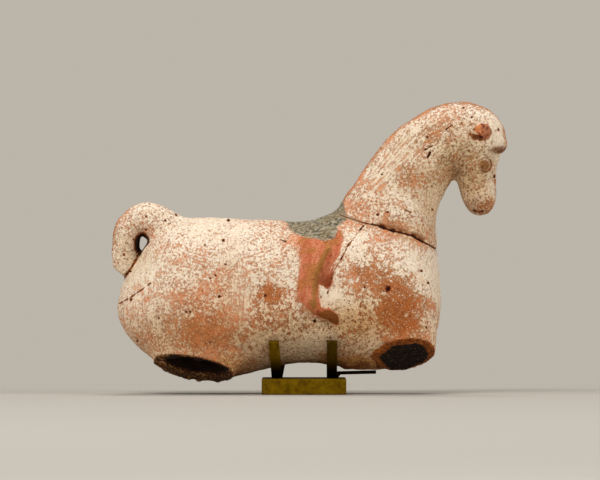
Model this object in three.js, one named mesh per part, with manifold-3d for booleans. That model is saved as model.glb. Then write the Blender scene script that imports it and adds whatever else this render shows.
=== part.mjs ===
// A terracotta horse with its legs broken away, lying in a brass cradle on a small brass foot.
// The clay is one body: smooth masses pressed together, described as a distance field and then
// turned into a closed mesh, from which the broken legs are cut. The brass is plain bar stock.
// Millimetres. +X points to the head, +Y to the far flank, +Z up, and the foot stands at Z = 0.
import * as THREE from "three";
import { mergeVertices } from "three/addons/utils/BufferGeometryUtils.js";
import Module from "manifold-3d";

const wasm = await Module();
wasm.setup();

// Driving dimensions of the clay horse. Side outlines are [x, z] landmarks joined by a smooth curve.
const TORSO_OUTLINE = [
  [-70.7, 31], // rearmost point of the rump
  [-69.4, 40],
  [-65.6, 48.5],
  [-58.8, 58.3],
  [-50.5, 64.6],
  [-39.5, 66.9], // croup
  [-20, 66.2],
  [-4, 66.1], // middle of the back
  [4, 67.4],
  [10, 69.4],
  [17, 69.4], // withers
  [34, 62.6],
  [46, 57.6], // top of the breast
  [50.6, 51],
  [51.7, 40],
  [51.2, 26], // front of the breast
  [47.5, 14.5],
  [38, 10.5],
  [22, 9.4], // behind the forelegs
  [5, 11.9],
  [-8, 11],
  [-19, 8.7], // belly
  [-30, 6.2],
  [-44, 7.6], // between the hind legs
  [-56, 12.2],
  [-63.5, 18.6],
  [-68.8, 25],
];
const TORSO_ROUNDING = 24;
const TORSO_HALF_WIDTHS = [
  [-62, 25],
  [-44, 26.6], // haunches
  [-12, 24.2], // waist
  [8, 24.2],
  [34, 26.2], // shoulders
  [48, 25.4],
];

const NECK_OUTLINE = [
  [12.8, 66],
  [14.9, 73.4], // foot of the crest
  [20.6, 82.4],
  [27.4, 92],
  [36.5, 101.5],
  [45.6, 107.6],
  [55, 110], // poll
  [64, 109],
  [68.5, 105],
  [67.5, 96],
  [62, 87.5],
  [57.4, 82.8], // throat
  [52.8, 75],
  [50, 66.5], // front of the neck
  [49.9, 55],
  [42, 48],
  [22, 50],
  [13.4, 58],
];
const NECK_ROUNDING = 12.5;
const NECK_HALF_WIDTHS = [
  [52, 17],
  [66, 15.2], // base of the neck
  [80, 12.6],
  [96, 11.6], // behind the cheeks
  [110, 10.4],
];

const HEAD_OUTLINE = [
  [48, 103],
  [55, 109.8],
  [63, 110.3], // top of the head
  [70.4, 107.9],
  [75.2, 102.6],
  [76.2, 96.4], // forehead
  [74.4, 90],
  [73.1, 84], // bridge of the nose
  [73, 76],
  [71.4, 69.8],
  [67, 67.7], // muzzle
  [63, 69.4],
  [60.4, 74],
  [58.9, 78.6],
  [58, 83], // jaw
  [51, 90],
];
const HEAD_ROUNDINGS = [
  [74, 5.8],
  [84, 7],
  [100, 10.5],
];
const HEAD_HALF_WIDTHS = [
  [69, 6],
  [78, 7.2], // muzzle
  [87, 9.6], // across the eyes
  [97, 11.2], // across the ears
  [108, 10.4],
];

const TAIL_PATH = [
  [-42, 58.6],
  [-51, 62.8],
  [-58.8, 66.1], // top of the arch
  [-65.6, 64.4],
  [-67.6, 57.6],
  [-67.8, 50],
  [-67.2, 42],
];
const TAIL_RADII = [
  [0, 6.6], // share of the tail's length, radius
  [0.36, 7],
  [0.55, 5.5],
  [1, 4.7],
];
const TAIL_RINGS = 17;
const TAIL_SIDES = 14;
const TAIL_BREAK = { x: -70.4, z: 46.4, tilt: -36 }; // the tip is lost below this slanting plane
const TAIL_LOSS = 20;

// Roots of the lost legs, from inside the flank down to below the break, for the near side.
const FORE_ROOT = { top: [37.4, 12.5, 36], bottom: [39.9, 16.2, 9], rTop: 10.8, rBottom: 8.8, stretch: 1.13 };
const HIND_ROOT = { top: [-41.5, 12, 33], bottom: [-41.2, 15.9, 3], rTop: 13, rBottom: 9.4, stretch: 1.38 };
// Each break is a plane through a point of the near side, tilted to face outwards and down.
const FORE_BREAK = { x: 38.4, y: 17.4, z: 16.2, lean: 33, pitch: -5.5 };
const HIND_BREAK = { x: -40.7, y: 17.5, z: 10.5, lean: 23, pitch: 10 };
const LOST_LEG = [44, 38, 30]; // the clay cleared below a break
const SOCKET = { halfX: 11.5, halfY: 6.9, depth: 16, floor: 0.45 }; // the pit left in a torn hind leg
const FAR_SOCKET_SHARE = 0.8; // the far pit is smaller

// The lost rider: two legs in relief on the flanks, and the scar across the back where the body sat.
const RIDER_LEG = [
  [59, 6.2, 8, 1.4], // [z, x, half width, how far it stands out]: torn top of the thigh
  [54, 5, 7.2, 2.4],
  [48.5, 3.8, 5.8, 2.9],
  [42, 2.2, 4.1, 3], // calf
  [36.5, 2.1, 3.7, 2.8],
  [32, 3.4, 3.9, 2.2], // heel
];
const RIDER_LEG_DEPTH = 5; // half the leg's thickness, most of it sunk in the flank
const RIDER_LEG_SIDES = 14;
const RIDER_FOOT = { x: 6.8, z: 31, halfX: 7, halfY: 4, halfZ: 3, droop: 20, proud: 2.6 };
const SEAT_BREAK = { x: 2.4, z: 71, rx: 11, ry: 26, rz: 17, deep: 0.9 };

// Pellets of clay pressed on to each side of the head.
const EAR_STUB = { x: 67.6, y: 9.9, z: 99.8, halfX: 3.5, halfY: 2.6, halfZ: 3.1 };
const EYE = { x: 69.3, y: 7.9, z: 86.6, halfX: 2.5, halfY: 1.9, halfZ: 2.5 };
const FORELOCK = { x: 72.9, y: 0, z: 95, halfX: 4.1, halfY: 7.4, halfZ: 4 };

// Mesh spacing along each axis: [from, to, step]. The neck and the head take the finer steps.
const GRID_X = [[-76, 50, 4.3], [50, 80, 2.3]];
const GRID_Y = [[-32, -12, 3.8], [-12, 12, 2.6], [12, 32, 3.8]];
const GRID_Z = [[-12.8, 54, 4], [54, 114, 2.5]];

// Driving dimensions of the brass.
const FOOT = { x: 32, y: 36, z: 6.1, bevel: 0.4 };
const PRONG_WIDTH = 3.9;
const PRONG_THICK = 1.6;
const PRONG_TOP_Z = 19.8;
const PRONG_FOOT_Y = 6.6; // from the middle of the foot to the outer face of a prong
const PRONG_X = {
  near_rear_prong: [-10.3, -11.4], // at the foot, at the tip
  far_rear_prong: [-10.1, -7.4],
  near_front_prong: [10.6, 10.6],
  far_front_prong: [10.6, 10.6],
};
const PRONG_STEPS = 8;
const PRONG_FLARE = 0.16; // how far the middle of a prong bows out, as a share of its length
const ARM = { x0: 8.9, x1: 27.4, width: 4, thick: 1.3, z0: 7.3, z1: 9 };
const CLEARANCE = 0.3; // between clay and brass

const WIDEST_BLEND = 7; // the softest fillet between two masses of clay
const TABLE_STEP = 1;
const TABLE_SOFTENINGS = 40;

const CLAY = new THREE.MeshStandardMaterial({ color: 0xc99a72, roughness: 0.92, metalness: 0 });
const BRASS = new THREE.MeshStandardMaterial({ color: 0x5c4a12, roughness: 0.45, metalness: 0.85 });

// A value that runs smoothly through [position, value] stations and stays level beyond the ends.
function along(stations, at) {
  const last = stations.length - 1;
  if (at <= stations[0][0]) return stations[0][1];
  if (at >= stations[last][0]) return stations[last][1];
  const i = stations.findIndex(([position]) => position >= at);
  const [p0, v0] = stations[i - 1];
  const [p1, v1] = stations[i];
  return THREE.MathUtils.lerp(v0, v1, THREE.MathUtils.smoothstep(at, p0, p1));
}

// The closed curve through an outline's landmarks, and how deep each point of the side view lies
// inside it, on a table. The table is softened inside, so that no ridge runs in from a corner.
function smoothOutline(landmarks) {
  const corners = landmarks.map(([x, z]) => new THREE.Vector3(x, 0, z));
  const curve = new THREE.CatmullRomCurve3(corners, true, "centripetal");
  const polygon = curve.getPoints(landmarks.length * 4).slice(0, -1).map((p) => [p.x, p.z]);
  const box = new THREE.Box2().setFromPoints(polygon.map(([x, z]) => new THREE.Vector2(x, z)));
  box.expandByScalar(WIDEST_BLEND);
  const { x: width, y: height } = box.getSize(new THREE.Vector2());
  const [nx, nz] = [Math.ceil(width / TABLE_STEP) + 1, Math.ceil(height / TABLE_STEP) + 1];
  let depths = new Float64Array(nx * nz);
  for (let i = 0; i < nx; i++) for (let k = 0; k < nz; k++) {
    depths[i * nz + k] = depthInPolygon(polygon, box.min.x + i * TABLE_STEP, box.min.y + k * TABLE_STEP);
  }
  for (let pass = 0; pass < TABLE_SOFTENINGS; pass++) {
    const softer = depths.slice();
    for (let i = 1; i < nx - 1; i++) for (let k = 1; k < nz - 1; k++) {
      const at = i * nz + k;
      const around = (depths[at - 1] + depths[at + 1] + depths[at - nz] + depths[at + nz]) / 4;
      const share = 0.8 * THREE.MathUtils.smoothstep(depths[at], 2, 9);
      softer[at] = THREE.MathUtils.lerp(depths[at], around, share);
    }
    depths = softer;
  }
  return { box, nx, nz, depths };
}

// The distance from a point to a polygon, which is negative outside.
function depthInPolygon(polygon, x, z) {
  let nearest = Infinity;
  let inside = false;
  let [ax, az] = polygon[polygon.length - 1];
  for (const [bx, bz] of polygon) {
    const ex = bx - ax;
    const ez = bz - az;
    const t = THREE.MathUtils.clamp(((x - ax) * ex + (z - az) * ez) / (ex * ex + ez * ez), 0, 1);
    nearest = Math.min(nearest, (x - ax - t * ex) ** 2 + (z - az - t * ez) ** 2);
    if (az > z !== bz > z && x < ax + ((z - az) * ex) / ez) inside = !inside;
    [ax, az] = [bx, bz];
  }
  return (inside ? 1 : -1) * Math.sqrt(nearest);
}

// The same depth, read from an outline's table. Off the table it is the distance to its box.
function depthInside({ box, nx, nz, depths }, x, z) {
  const u = (x - box.min.x) / TABLE_STEP;
  const v = (z - box.min.y) / TABLE_STEP;
  const i = Math.floor(u);
  const k = Math.floor(v);
  if (i < 0 || k < 0 || i >= nx - 1 || k >= nz - 1) {
    return -WIDEST_BLEND - box.distanceToPoint(new THREE.Vector2(x, z));
  }
  const at = i * nz + k;
  const low = THREE.MathUtils.lerp(depths[at], depths[at + nz], u - i);
  const high = THREE.MathUtils.lerp(depths[at + 1], depths[at + nz + 1], u - i);
  return THREE.MathUtils.lerp(low, high, v - k);
}

// Distance to a body with a given side outline, whose flanks round off over `rounding`.
function pillow(outline, x, y, z, rounding, halfWidth) {
  const u = Math.max(0, 1 - depthInside(outline, x, z) / rounding);
  return (Math.hypot(u, y / halfWidth) - 1) * Math.min(rounding, halfWidth);
}

// Distance to a tapered limb from a to b, stretched along X about its own axis.
function limb(x, y, z, a, b, ra, rb, stretch = 1) {
  const d = [b[0] - a[0], b[1] - a[1], b[2] - a[2]];
  const dot = (x - a[0]) * d[0] + (y - a[1]) * d[1] + (z - a[2]) * d[2];
  const t = THREE.MathUtils.clamp(dot / (d[0] ** 2 + d[1] ** 2 + d[2] ** 2), 0, 1);
  const dx = (x - a[0] - t * d[0]) / stretch;
  return Math.hypot(dx, y - a[1] - t * d[1], z - a[2] - t * d[2]) - THREE.MathUtils.lerp(ra, rb, t);
}

// Joins two distances with a fillet about `blend` wide.
function fuse(a, b, blend) {
  const h = Math.max(blend - Math.abs(a - b), 0) / blend;
  return Math.min(a, b) - (h * h * blend) / 4;
}

const torsoOutline = smoothOutline(TORSO_OUTLINE);
const neckOutline = smoothOutline(NECK_OUTLINE);
const headOutline = smoothOutline(HEAD_OUTLINE);

const torso = (x, y, z) =>
  pillow(torsoOutline, x, y, z, TORSO_ROUNDING, along(TORSO_HALF_WIDTHS, x));

const neck = (x, y, z) =>
  pillow(neckOutline, x, y, z, NECK_ROUNDING, along(NECK_HALF_WIDTHS, z));

const head = (x, y, z) =>
  pillow(headOutline, x, y, z, along(HEAD_ROUNDINGS, z), along(HEAD_HALF_WIDTHS, z));

const legRoot = (x, y, z, root) =>
  limb(x, Math.abs(y), z, root.top, root.bottom, root.rTop, root.rBottom, root.stretch);

// Half the torso's width at a point of its side view.
function flankHalfWidth(x, z) {
  const u = Math.max(0, 1 - depthInside(torsoOutline, x, z) / TORSO_ROUNDING);
  return along(TORSO_HALF_WIDTHS, x) * Math.sqrt(Math.max(0, 1 - u * u));
}

// The clay that went with the rider's body: all that stands above a skin sunk a little into the
// back, within an oval patch across it.
function seatBreak(x, y, z) {
  const { x: cx, z: cz, rx, ry, rz, deep } = SEAT_BREAK;
  const patch = (Math.hypot((x - cx) / rx, y / ry, (z - cz) / rz) - 1) * rx;
  return Math.max(patch, -torso(x, y, z) - deep);
}

// Distance to the body, neck and head, with the leg roots still whole. It is negative in the clay.
function horse(x, y, z) {
  let distance = fuse(torso(x, y, z), legRoot(x, y, z, FORE_ROOT), 4.5);
  distance = fuse(distance, legRoot(x, y, z, HIND_ROOT), 7);
  distance = fuse(distance, fuse(neck(x, y, z), head(x, y, z), 3), 5);
  return Math.max(distance, -seatBreak(x, y, z));
}

function slopeOf(field, x, y, z) {
  const e = 0.05;
  return [
    (field(x + e, y, z) - field(x - e, y, z)) / (2 * e),
    (field(x, y + e, z) - field(x, y - e, z)) / (2 * e),
    (field(x, y, z + e) - field(x, y, z - e)) / (2 * e),
  ];
}

// Moves a point onto the field's zero surface by a few Newton steps, none longer than `reach`.
function pullToSurface(field, point, reach) {
  let [x, y, z] = point;
  for (let step = 0; step < 3; step++) {
    const value = field(x, y, z);
    const slope = slopeOf(field, x, y, z);
    const steepness = slope[0] ** 2 + slope[1] ** 2 + slope[2] ** 2;
    const move = THREE.MathUtils.clamp(value / Math.max(steepness, 0.05), -reach, reach);
    x -= move * slope[0];
    y -= move * slope[1];
    z -= move * slope[2];
  }
  return [x, y, z];
}

function gridLines(stretches) {
  const lines = [stretches[0][0]];
  for (const [from, to, step] of stretches) {
    const count = Math.round((to - from) / step);
    for (let i = 1; i <= count; i++) lines.push(from + ((to - from) * i) / count);
  }
  return lines;
}

// A closed mesh of a field's zero surface: one vertex in each grid cell that the surface crosses,
// and one quad, split in two, across each grid edge that it crosses.
function meshOfField(field, xs, ys, zs) {
  const [nx, ny, nz] = [xs.length, ys.length, zs.length];
  const at = (i, j, k) => (i * ny + j) * nz + k;
  const values = new Float64Array(nx * ny * nz);
  xs.forEach((x, i) => ys.forEach((y, j) => zs.forEach((z, k) => {
    values[at(i, j, k)] = field(x, y, z);
  })));

  const CORNERS = [0, 1, 2, 3, 4, 5, 6, 7].map((c) => [c >> 2, (c >> 1) & 1, c & 1]);
  const EDGES = [];
  for (let a = 0; a < 8; a++) {
    for (const bit of [4, 2, 1]) if (!(a & bit)) EDGES.push([a, a | bit]);
  }
  const vertices = [];
  const cellVertex = new Map();
  for (let i = 0; i < nx - 1; i++) for (let j = 0; j < ny - 1; j++) for (let k = 0; k < nz - 1; k++) {
    const cell = CORNERS.map(([a, b, c]) => ({
      point: [xs[i + a], ys[j + b], zs[k + c]],
      value: values[at(i + a, j + b, k + c)],
    }));
    const crossings = EDGES.filter(([a, b]) => cell[a].value < 0 !== cell[b].value < 0);
    if (!crossings.length) continue;
    const middle = [0, 0, 0];
    for (const [a, b] of crossings) {
      const t = cell[a].value / (cell[a].value - cell[b].value);
      for (let n = 0; n < 3; n++) {
        middle[n] += THREE.MathUtils.lerp(cell[a].point[n], cell[b].point[n], t) / crossings.length;
      }
    }
    cellVertex.set(at(i, j, k), vertices.length / 3);
    vertices.push(...pullToSurface(field, middle, (zs[k + 1] - zs[k]) * 0.25));
  }

  const spread = (a, b) => {
    const d = [0, 1, 2].map((n) => vertices[3 * a + n] - vertices[3 * b + n]);
    return Math.hypot(...d);
  };
  const faces = [];
  const AROUND = [
    [[0, 0, 0], [0, -1, 0], [0, -1, -1], [0, 0, -1]], // cells around an edge along X
    [[0, 0, 0], [0, 0, -1], [-1, 0, -1], [-1, 0, 0]], // along Y
    [[0, 0, 0], [-1, 0, 0], [-1, -1, 0], [0, -1, 0]], // along Z
  ];
  const NEXT = [[1, 0, 0], [0, 1, 0], [0, 0, 1]];
  for (let i = 1; i < nx - 1; i++) for (let j = 1; j < ny - 1; j++) for (let k = 1; k < nz - 1; k++) {
    const here = values[at(i, j, k)] < 0;
    NEXT.forEach(([a, b, c], axis) => {
      if (here === values[at(i + a, j + b, k + c)] < 0) return;
      const quad = AROUND[axis].map(([p, q, r]) => cellVertex.get(at(i + p, j + q, k + r)));
      if (!here) quad.reverse();
      const [v0, v1, v2, v3] = quad;
      if (spread(v0, v2) < spread(v1, v3)) faces.push(v0, v1, v2, v0, v2, v3);
      else faces.push(v0, v1, v3, v1, v2, v3);
    });
  }
  const geometry = new THREE.BufferGeometry();
  geometry.setAttribute("position", new THREE.Float32BufferAttribute(vertices, 3));
  geometry.setIndex(faces);
  return geometry;
}

function solidOf(geometry) {
  const bare = geometry.clone();
  bare.deleteAttribute("normal");
  bare.deleteAttribute("uv");
  const merged = mergeVertices(bare, 1e-4);
  return new wasm.Manifold(new wasm.Mesh({
    numProp: 3,
    vertProperties: new Float32Array(merged.attributes.position.array),
    triVerts: new Uint32Array(merged.index.array),
  }));
}

function geometryOf(solid) {
  const { vertProperties, triVerts } = solid.getMesh();
  const geometry = new THREE.BufferGeometry();
  geometry.setAttribute("position", new THREE.BufferAttribute(vertProperties, 3));
  geometry.setIndex(new THREE.BufferAttribute(triVerts, 1));
  return geometry;
}

// The frame of a broken leg: its origin is in the break, and its -Z points out of the clay.
function breakFrame({ x, y, z, lean, pitch }, side) {
  const turn = new THREE.Euler(
    THREE.MathUtils.degToRad(side * lean),
    THREE.MathUtils.degToRad(pitch),
    0,
  );
  return new THREE.Matrix4().makeRotationFromEuler(turn).setPosition(x, side * y, z);
}

// The clay lost below a break, as a cutter. `side` is -1 for the near flank and 1 for the far one.
// The plane of the break passes below the trunk, so that it only meets the root of the leg.
function lostLeg(place, side) {
  const lost = new THREE.BoxGeometry(...LOST_LEG);
  lost.translate(0, 0, -LOST_LEG[2] / 2);
  return solidOf(lost.applyMatrix4(breakFrame(place, side)));
}

// The pit in a torn leg: wide at the break, closing to a blunt floor, and running past the break.
function tornSocket(place, side, share) {
  const depth = SOCKET.depth * share;
  const profile = [
    [0, -1],
    [1, -1],
    [1, 0],
    [0.92, depth * 0.4],
    [0.74, depth * 0.75],
    [SOCKET.floor, depth * 0.95],
    [0, depth],
  ].map(([r, z]) => new THREE.Vector2(r, z));
  const pit = new THREE.LatheGeometry(profile, 24);
  pit.rotateX(Math.PI / 2);
  pit.scale(SOCKET.halfX * share, SOCKET.halfY * share, 1);
  return solidOf(pit.applyMatrix4(breakFrame(place, side)));
}

// A closed body through rings of points, each ring running the same way round.
function loft(rings) {
  const sides = rings[0].length;
  const middleOf = (ring) => ring.reduce((sum, p) => sum.add(p), new THREE.Vector3()).divideScalar(sides);
  const points = [...rings.flat(), middleOf(rings[0]), middleOf(rings[rings.length - 1])];
  const [firstCap, lastCap] = [points.length - 2, points.length - 1];
  const faces = [];
  for (let i = 0; i < sides; i++) {
    const next = (i + 1) % sides;
    for (let r = 0; r < rings.length - 1; r++) {
      const [a, b] = [r * sides + i, r * sides + next];
      faces.push(a, b, b + sides, a, b + sides, a + sides);
    }
    const lastRing = (rings.length - 1) * sides;
    faces.push(firstCap, next, i, lastCap, lastRing + i, lastRing + next);
  }
  const geometry = new THREE.BufferGeometry().setFromPoints(points);
  geometry.setIndex(faces);
  return geometry;
}

// The tail rises from the croup, arches over and comes down against the rump, where its tip is lost.
function tail() {
  const path = new THREE.CatmullRomCurve3(TAIL_PATH.map(([x, z]) => new THREE.Vector3(x, 0, z)));
  const rings = path.getSpacedPoints(TAIL_RINGS - 1).map((middle, r) => {
    const share = r / (TAIL_RINGS - 1);
    const radius = along(TAIL_RADII, share);
    const tangent = path.getTangentAt(share);
    const up = new THREE.Vector3(-tangent.z, 0, tangent.x);
    return Array.from({ length: TAIL_SIDES }, (_, i) => {
      const turn = (i * 2 * Math.PI) / TAIL_SIDES;
      const point = middle.clone().addScaledVector(up, radius * Math.cos(turn));
      return point.setY(-radius * Math.sin(turn));
    });
  });
  const lost = new THREE.BoxGeometry(TAIL_LOSS, TAIL_LOSS, TAIL_LOSS);
  lost.translate(0, 0, -TAIL_LOSS / 2);
  lost.rotateY(THREE.MathUtils.degToRad(-TAIL_BREAK.tilt));
  lost.translate(TAIL_BREAK.x, 0, TAIL_BREAK.z);
  return solidOf(loft(rings)).subtract(solidOf(lost));
}

// One of the rider's legs, hanging down the flank.
function riderLeg(side) {
  const rings = RIDER_LEG.map(([z, x, half, proud]) => {
    const y = side * (flankHalfWidth(x, z) + proud - RIDER_LEG_DEPTH);
    return Array.from({ length: RIDER_LEG_SIDES }, (_, i) => {
      const turn = (i * 2 * Math.PI) / RIDER_LEG_SIDES;
      return new THREE.Vector3(x - half * Math.cos(turn), y + RIDER_LEG_DEPTH * Math.sin(turn), z);
    });
  });
  return solidOf(loft(rings));
}

// A rounded lump of clay pressed on to one side, leaning nose down by `droop` degrees.
function lump({ x, y, z, halfX, halfY, halfZ, droop = 0 }, side) {
  const ball = new THREE.SphereGeometry(1, 14, 9);
  ball.scale(halfX, halfY, halfZ);
  ball.rotateY(THREE.MathUtils.degToRad(droop));
  return solidOf(ball.translate(x, side * y, z));
}

function riderFoot(side) {
  const y = flankHalfWidth(RIDER_FOOT.x, RIDER_FOOT.z) + RIDER_FOOT.proud - RIDER_FOOT.halfY;
  return lump({ ...RIDER_FOOT, y }, side);
}

function clayHorse() {
  const lines = [GRID_X, GRID_Y, GRID_Z].map(gridLines);
  let clay = solidOf(meshOfField(horse, ...lines)).add(tail()).add(lump(FORELOCK, 1));
  for (const side of [-1, 1]) {
    clay = clay.add(riderLeg(side)).add(riderFoot(side));
    clay = clay.add(lump(EAR_STUB, side)).add(lump(EYE, side));
    clay = clay.subtract(lostLeg(FORE_BREAK, side)).subtract(lostLeg(HIND_BREAK, side));
    clay = clay.subtract(tornSocket(HIND_BREAK, side, side < 0 ? 1 : FAR_SOCKET_SHARE));
  }
  return geometryOf(clay);
}

// The block that everything stands on, with its edges just broken.
function footBlock() {
  const { x, y, z, bevel } = FOOT;
  const plan = new THREE.Shape([
    new THREE.Vector2(-x / 2 + bevel, -y / 2 + bevel),
    new THREE.Vector2(x / 2 - bevel, -y / 2 + bevel),
    new THREE.Vector2(x / 2 - bevel, y / 2 - bevel),
    new THREE.Vector2(-x / 2 + bevel, y / 2 - bevel),
  ]);
  const block = new THREE.ExtrudeGeometry(plan, {
    depth: z - 2 * bevel,
    bevelThickness: bevel,
    bevelSize: bevel,
    bevelSegments: 1,
  });
  return block.translate(0, 0, bevel);
}

// How far out the clay reaches at a height, measured from the middle plane.
function clayReach(x, z) {
  let y = 0;
  while (horse(x, y, z) < 0) y += 0.1;
  return y;
}

// A prong: a flat bar that rises from the foot and leans out under the belly, clear of the clay.
function prong([footX, tipX], side) {
  const reaches = [-0.5, 0.5].map((s) => clayReach(tipX + s * PRONG_WIDTH, PRONG_TOP_Z + PRONG_THICK / 2));
  const tipY = Math.max(...reaches) + CLEARANCE + PRONG_THICK;
  const foot = new THREE.Vector2(PRONG_FOOT_Y, FOOT.z);
  const tip = new THREE.Vector2(tipY, PRONG_TOP_Z);
  const run = tip.clone().sub(foot);
  const bow = new THREE.Vector2(run.y, -run.x).multiplyScalar(PRONG_FLARE);
  const middle = foot.clone().add(tip).multiplyScalar(0.5).add(bow);
  const curve = new THREE.QuadraticBezierCurve(foot, middle, tip);

  const outer = curve.getPoints(PRONG_STEPS);
  const inner = outer.map((p, i) => {
    const tangent = curve.getTangent(i / PRONG_STEPS);
    return new THREE.Vector2(p.x - tangent.y * PRONG_THICK, p.y + tangent.x * PRONG_THICK);
  });
  inner[0] = new THREE.Vector2(foot.x - PRONG_THICK * 1.35, FOOT.z);
  const shape = new THREE.Shape([...outer, ...inner.reverse()]);
  const bar = new THREE.ExtrudeGeometry(shape, { depth: PRONG_WIDTH, bevelEnabled: false });
  // The extrusion's own X, Y and Z become the part's Y, Z and X.
  bar.applyMatrix4(new THREE.Matrix4().makeBasis(
    new THREE.Vector3(0, 1, 0),
    new THREE.Vector3(0, 0, 1),
    new THREE.Vector3(1, 0, 0),
  ));
  bar.translate(-PRONG_WIDTH / 2, 0, 0);
  const lean = (tipX - footX) / (PRONG_TOP_Z - FOOT.z);
  bar.applyMatrix4(new THREE.Matrix4().makeShear(0, 0, 0, 0, lean, 0));
  bar.translate(footX - lean * FOOT.z, 0, 0);
  if (side > 0) return bar;
  // The near prong is the far one turned end for end.
  bar.translate(-footX, 0, 0);
  bar.applyMatrix4(new THREE.Matrix4().makeScale(1, -1, 1));
  const index = [...Array(bar.attributes.position.count).keys()];
  for (let i = 0; i < index.length; i += 3) [index[i + 1], index[i + 2]] = [index[i + 2], index[i + 1]];
  bar.setIndex(index);
  return bar.translate(footX, 0, 0);
}

// The arm: a flat bar that runs forward from the foot, low under the breast, on a short upright.
function breastArm() {
  const { x0, x1, width, thick, z0, z1 } = ARM;
  const side = new THREE.Shape([
    new THREE.Vector2(x0, FOOT.z),
    new THREE.Vector2(x0 + width, FOOT.z),
    new THREE.Vector2(x0 + width + 1, z0 + 0.1),
    new THREE.Vector2(x1, z1 - thick),
    new THREE.Vector2(x1, z1),
    new THREE.Vector2(x0 + width, z0 + thick),
    new THREE.Vector2(x0, z0 + thick - 0.1),
  ]);
  const bar = new THREE.ExtrudeGeometry(side, { depth: width, bevelEnabled: false });
  // The extrusion's own X, Y and Z become the part's X, Z and -Y.
  bar.rotateX(Math.PI / 2);
  return bar.translate(0, width / 2, 0);
}

function piece(name, geometry, material) {
  const mesh = new THREE.Mesh(geometry, material);
  mesh.name = name;
  return mesh;
}

const figurine = new THREE.Group();
figurine.add(piece("clay_horse", clayHorse(), CLAY));

const cradle = new THREE.Group();
cradle.add(piece("foot_block", footBlock(), BRASS));
for (const [name, xs] of Object.entries(PRONG_X)) {
  cradle.add(piece(name, prong(xs, name.startsWith("near") ? -1 : 1), BRASS));
}
cradle.add(piece("breast_arm", breastArm(), BRASS));
figurine.add(cradle);

export default figurine;
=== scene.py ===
# %% [markdown]
# # A terracotta horse in a brass cradle
# The object is a small hand-made clay horse. It has lost its legs and its rider, and lies on four
# bent brass prongs that stand on a brass foot. The imported CAD part gives every size and place, so
# this lesson starts by loading it.

# %% Load the imported part
import math

import bmesh
import bpy
import numpy as np
from mathutils import Matrix, Vector, kdtree, noise


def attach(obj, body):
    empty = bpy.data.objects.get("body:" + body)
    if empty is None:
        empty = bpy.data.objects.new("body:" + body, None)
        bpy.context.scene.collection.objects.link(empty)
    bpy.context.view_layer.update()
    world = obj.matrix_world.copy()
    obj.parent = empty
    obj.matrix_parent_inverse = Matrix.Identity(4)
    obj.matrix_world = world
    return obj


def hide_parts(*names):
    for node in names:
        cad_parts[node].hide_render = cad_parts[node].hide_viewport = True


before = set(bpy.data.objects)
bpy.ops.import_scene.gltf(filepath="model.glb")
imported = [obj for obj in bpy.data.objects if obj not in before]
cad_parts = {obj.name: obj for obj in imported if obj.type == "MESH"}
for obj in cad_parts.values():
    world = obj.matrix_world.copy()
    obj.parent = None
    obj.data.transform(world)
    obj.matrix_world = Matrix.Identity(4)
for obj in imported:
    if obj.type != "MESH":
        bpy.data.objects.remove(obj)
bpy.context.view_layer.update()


print("CAD nodes:", sorted(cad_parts))

# %% [markdown]
# ## The photographer's camera
# The object was seen square from its near side, from almost its own height and from far away, so
# that near and far prongs look the same size. A long lens three metres away does the same. The
# picture is 228 mm wide at the horse's middle plane, and its centre is 58.5 mm above the surface.

# %% Set up the camera
scene = bpy.context.scene
MM = 0.001
CAMERA_AWAY = 3.0
PICTURE_WIDTH = 228 * MM
PICTURE_CENTRE = (-1.5 * MM, 58.5 * MM)
SENSOR_WIDTH = 36


def add_object(name, data):
    obj = bpy.data.objects.new(name, data)
    scene.collection.objects.link(obj)
    return obj


camera = add_object("camera", bpy.data.cameras.new("camera"))
camera.data.sensor_width = SENSOR_WIDTH
camera.data.lens = SENSOR_WIDTH * CAMERA_AWAY / PICTURE_WIDTH
camera.data.clip_end = 20
camera.location = (PICTURE_CENTRE[0], -CAMERA_AWAY, PICTURE_CENTRE[1])
camera.rotation_euler = (math.pi / 2, 0, 0)
scene.camera = camera
print("lens in mm:", round(camera.data.lens, 1))

# %% [markdown]
# ## Working in millimetres on arrays
# The clay is shaped by moving many vertices a little, as a thumb or a needle would. Blender gives
# and takes all of a mesh's vertices at once, which is fast, and millimetres make the numbers easy
# to read. A vertex's normal says which way is out of the clay.

# %% Read and write a mesh's vertices
def places(mesh):
    """A mesh's vertices as rows of x, y and z in millimetres."""
    co = np.empty(len(mesh.vertices) * 3, np.float32)
    mesh.vertices.foreach_get("co", co)
    return co.reshape(-1, 3).astype(float) / MM


def put_places(mesh, co):
    """Moves a mesh's vertices to the places in such rows."""
    mesh.vertices.foreach_set("co", (co * MM).astype(np.float32).ravel())
    mesh.update()


def outward(mesh):
    """The direction out of the surface at each vertex, one millimetre long."""
    normals = np.empty(len(mesh.vertices) * 3, np.float32)
    mesh.vertex_normals.foreach_get("vector", normals)
    return normals.reshape(-1, 3).astype(float)


def ease(value, low, high):
    """0 at `low`, 1 at `high` and a soft slope between them. `high` may be the smaller one."""
    t = np.clip((value - low) / (high - low), 0, 1)
    return t * t * (3 - 2 * t)


def bell(distance, width, power=2):
    """1 where the distance is nothing, and next to nothing from twice the width on."""
    return np.exp(-((distance / width) ** power))


def mottle(co, size, seed=0):
    """Soft noise from about -1 to 1, whose lumps are `size` millimetres across."""
    shift = np.array([17.3, 5.1, 9.7]) * seed
    return np.array([noise.noise(p) for p in (co / size + shift).tolist()]) * 1.6


# %% [markdown]
# ## An even skin for the horse
# The CAD horse is faceted, with faces about four millimetres across. The real clay is smooth under
# its grain. A voxel remesh gives the copy small even faces, and smoothing then melts the facets.
# The broken legs, the pellets and the tail's tip keep their edges, because the smoothing is held
# back there. Smoothing thins a body, so the lost girth is measured and given back. The small hole
# between tail and rump could close in the remesh, so a wedge opens it further first.

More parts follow.
